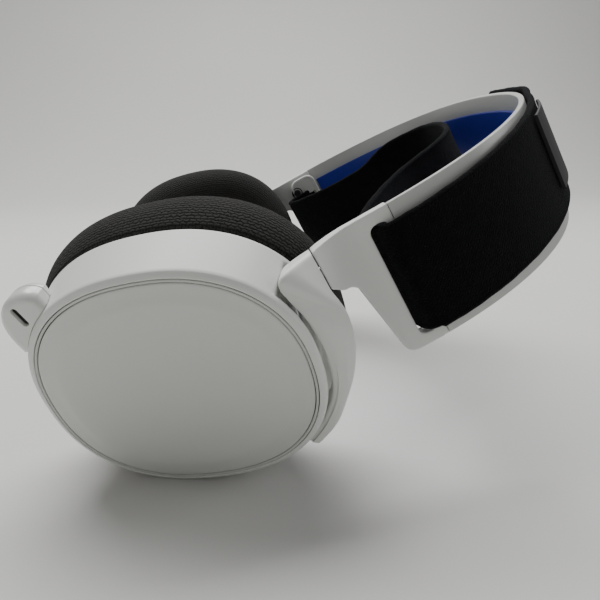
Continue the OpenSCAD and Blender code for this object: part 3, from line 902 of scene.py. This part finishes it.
# The microphone's head: the angle of its boom in the cup's outline, and the head's edge in distances
# out along the boom and across it
MIC_ANGLE = math.radians(-49)
MIC_EDGE = [
    (41.9, 9.3), (43.6, 9), (46, 7.6), (48, 5), (49.2, 1.9), (49.3, -1.2), (48.3, -4.2), (46.2, -7),
    (43.6, -9.2), (40.9, -10.9),
]
# Its section: depth in the cup's frame, and distance inside the edge
MIC_PROFILE = [
    (-9.6, 2.4), (-9.45, 1.6), (-9.1, 0.9), (-8.5, 0.35), (-7.6, 0), (-6.85, 0), (-6.75, 0.32),
    (-6.5, 0.32), (-6.4, 0), (-4, 0), (-3.2, 0.18), (-2.5, 0.6), (-1.95, 1.25), (-1.7, 1.9), (-1.6, 2.7),
]
# The long port in its face: centre, direction, half the length between its end circles, their radius
PORT_OUT, PORT_ACROSS = 44, 1.3
PORT_DIRECTION = Vector((3.6, 2.3)).normalized()
PORT_HALF, PORT_R = 1.95, 0.85


def mic_point(x, r, t):
    """A point of the left cup, from its depth and the distances out along the boom and across it."""
    c, s = math.cos(MIC_ANGLE), math.sin(MIC_ANGLE)
    return (x, r * c - t * s, r * s + t * c)


def wall_at(x, t):
    """Distance out along the boom to the cup's wall, at a depth and a distance across."""
    off = wall_off(x)
    lo, hi = 30.0, 50.0
    for _ in range(30):
        mid = (lo + hi) / 2
        _, y, z = mic_point(x, mid, t)
        inside = (abs(y) / (PLATE_W + off)) ** CUP_N + (abs(z) / (PLATE_H + off)) ** CUP_N < 1
        lo, hi = (mid, hi) if inside else (lo, mid)
    return lo


def mic_ring(edge, x, inset):
    """The head's outline at a depth: its edge moved inward, and closed along the cup's wall."""
    n = len(edge)
    ring = []
    for k, (r, t) in enumerate(edge):
        a, b = edge[max(0, k - 1)], edge[min(n - 1, k + 1)]
        dr, dt = b[0] - a[0], b[1] - a[1]
        d = math.hypot(dr, dt)
        ring.append((max(r + dt / d * inset, wall_at(x, t) + 0.15), t - dr / d * inset))
    first, last = ring[0][1], ring[-1][1]
    for k in range(1, 12):
        t = last + (first - last) * k / 12
        ring.append((wall_at(x, t) + 0.12, t))
    return [cup(mic_point(x, r, t), -1) for r, t in ring]


def port_ring(x, grow):
    """Outline of the long port at a depth: a capsule lying across the head's face."""
    across = Vector((-PORT_DIRECTION.y, PORT_DIRECTION.x))
    ring = []
    for k in range(24):
        a = 2 * math.pi * k / 24
        p = PORT_DIRECTION * ((PORT_R + grow) * math.cos(a) + math.copysign(PORT_HALF, math.cos(a)))
        p += across * (PORT_R + grow) * math.sin(a)
        ring.append(cup(mic_point(x, PORT_OUT + p.x, PORT_ACROSS + p.y), -1))
    return ring


def microphone():
    """The left cup's microphone head with its port. The boom and its bush are the CAD nodes."""
    edge = catmull(MIC_EDGE, 6)
    mesh = loft([mic_ring(edge, x, inset) for x, inset in MIC_PROFILE])
    pod = finish_mesh("mic_pod", mesh, GLOSS, "mic", ["mic_head"], 40)
    hole = loft([port_ring(-2.75, 0), port_ring(-2.1, 0), port_ring(-1.2, 0.35)])
    hollowed(pod, plain_object("cutter", hole))
    # A black plug at the bottom of the port: painted shade for the port's depth.
    port = loft([port_ring(-2.74, -0.04), port_ring(-2.45, -0.04)])
    finish_mesh("mic_slot", port, SHADE_BLACK, "mic", ["mic_port"])
    finish_node("mic_boom", RUBBER)
    finish_node("mic_bush", RUBBER)


# Where the thumb wheels lie in the cup's outline, their outer radius and their number of ridges
WHEEL_ANGLE = math.radians(176)
WHEEL_R, WHEEL_RIDGES = 8, 48
# How far the cup's wall lies outside the plate's outline there, and the wheel outside the wall
WHEEL_WALL, WHEEL_OUT = 4.1, 1.4
# A wheel's section: depth, radius and height of the ridges
WHEEL_PROFILE = [
    (-7.6, 1.1, 0), (-7.6, 6.6, 0), (-7.75, 7.2, 0.05), (-8.1, 7.7, 0.16), (-10.9, 7.7, 0.16),
    (-11.25, 7.2, 0.05), (-11.4, 6.6, 0), (-11.4, 1.1, 0),
]


def wheel(name, side):
    """Thumb wheel with fine ridges, standing a little out of the cup's rear wall."""
    reach = math.hypot(*outline(WHEEL_ANGLE, WHEEL_WALL)) + WHEEL_OUT - WHEEL_R
    cy, cz = reach * math.cos(WHEEL_ANGLE), reach * math.sin(WHEEL_ANGLE)
    points = 4 * WHEEL_RIDGES
    rings = []
    for x, r, ridge in WHEEL_PROFILE:
        ring = []
        for k in range(points):
            a = 2 * math.pi * k / points
            d = r + ridge * math.cos(WHEEL_RIDGES * a)
            ring.append(cup((x, cy + d * math.cos(a), cz + d * math.sin(a)), side))
        rings.append(ring)
    rings.append(rings[0])
    bm = loft(rings, ends=(False, False))
    bmesh.ops.remove_doubles(bm, verts=bm.verts, dist=1e-7)
    finish_mesh(name + "_rim", bm, BLACK, name, [name])


# ---------- build ----------

headband()
strap()
patch()
for name, side in SIDES:
    ends(name, side)
    shell(name, side)
    seam(name, side)
    plate(name, side)
    scrim(name, side, cushion(name, side))
    yoke(name, side)
    finish_node("swivel_shaft_" + name, STEEL)
    finish_node("tilt_pins_" + name, STEEL)
    finish_node("baffle_" + name, BLACK, 0.2)
    finish_node("driver_" + name, BLACK, 0.3)
    finish_node("baffle_screws_" + name, STEEL)
microphone()
for name in ("volume_axle", "balance_axle", "usb_socket"):
    finish_node(name, STEEL)
wheel("volume_wheel", -1)
wheel("balance_wheel", 1)
for name in ("end_screws", "mute_button", "power_button", "audio_jack"):
    finish_node(name, BLACK, 0.3)
finish_node("main_board", BOARD)
finish_node("power_board", BOARD)
finish_node("battery", WRAP, 0.6)

# ---------- stage ----------

# In metres: where the floor starts in front and curves up behind, the curve's radius, the backdrop's
# height and half its width
FLOOR_FRONT, FLOOR_BACK = -1.5, 0.75
CURVE_R, BACKDROP_TOP, FLOOR_HALF = 0.5, 2.0, 2.5


def stage():
    """A pale floor that curves up into a backdrop."""
    mat, nt, sh = new_material("floor", Roughness=0.55)
    slow = noise(nt, coords(nt), 3, 2)
    paint(nt, sh, slow, [(0.3, (0.68, 0.675, 0.655)), (0.7, (0.70, 0.695, 0.68))])
    turns = [math.radians(7.5 * k) for k in range(1, 13)]
    path = [(FLOOR_FRONT, 0.0), (FLOOR_BACK, 0.0)]
    path += [(FLOOR_BACK + CURVE_R * math.sin(a), CURVE_R - CURVE_R * math.cos(a)) for a in turns]
    path.append((FLOOR_BACK + CURVE_R, BACKDROP_TOP))
    bm = bmesh.new()
    cols = [[bm.verts.new((x, y, z)) for y, z in path] for x in (-FLOOR_HALF, FLOOR_HALF)]
    for k in range(len(path) - 1):
        bm.faces.new((cols[0][k], cols[1][k], cols[1][k + 1], cols[0][k + 1]))
    mesh = bare_mesh("floor", bm)
    dress(mesh, mat)
    placed("floor", mesh)


def lamp(name, at, to, size, power):
    """A soft rectangular lamp at a point, aimed at another."""
    data = bpy.data.lights.new(name, "AREA")
    data.shape = "RECTANGLE"
    data.size, data.size_y = size
    data.energy = power
    obj = placed(name, data)
    obj.location = at
    obj.rotation_mode = "QUATERNION"
    obj.rotation_quaternion = (Vector(to) - Vector(at)).to_track_quat("-Z", "Y")


def camera():
    """The view towards the left cup, from a little above it."""
    data = bpy.data.cameras.new("camera")
    data.sensor_width = 36
    data.lens = 36.7
    data.clip_start, data.clip_end = 0.01, 20
    obj = placed("camera", data)
    forward = Vector((0.0992, 0.9623, -0.2531)).normalized()
    right = Vector((0.9946, -0.1039, -0.0052)).normalized()
    up = right.cross(forward)
    turn = Matrix((right, up, -forward)).transposed()
    obj.matrix_world = Matrix.Translation(row((-250.3, 53.2, -16.8))) @ turn.to_4x4()
    bpy.context.scene.camera = obj


def surround():
    """Even grey light from all sides."""
    world = bpy.data.worlds.new("world")
    bpy.context.scene.world = world
    world.use_nodes = True
    background = world.node_tree.nodes["Background"]
    background.inputs["Color"].default_value = (0.80, 0.80, 0.79, 1)
    background.inputs["Strength"].default_value = 0.24


stage()
lamp("key", (-0.1, 0.42, 1.1), (0, 0.05, 0.04), (1.3, 0.7), 21)
lamp("fill", (-1.1, -0.6, 0.5), (0, 0, 0.06), (0.7, 0.7), 0.9)
lamp("side", (1.0, -0.1, 0.5), (0.1, 0, 0.05), (0.5, 0.5), 1.8)
camera()
surround()
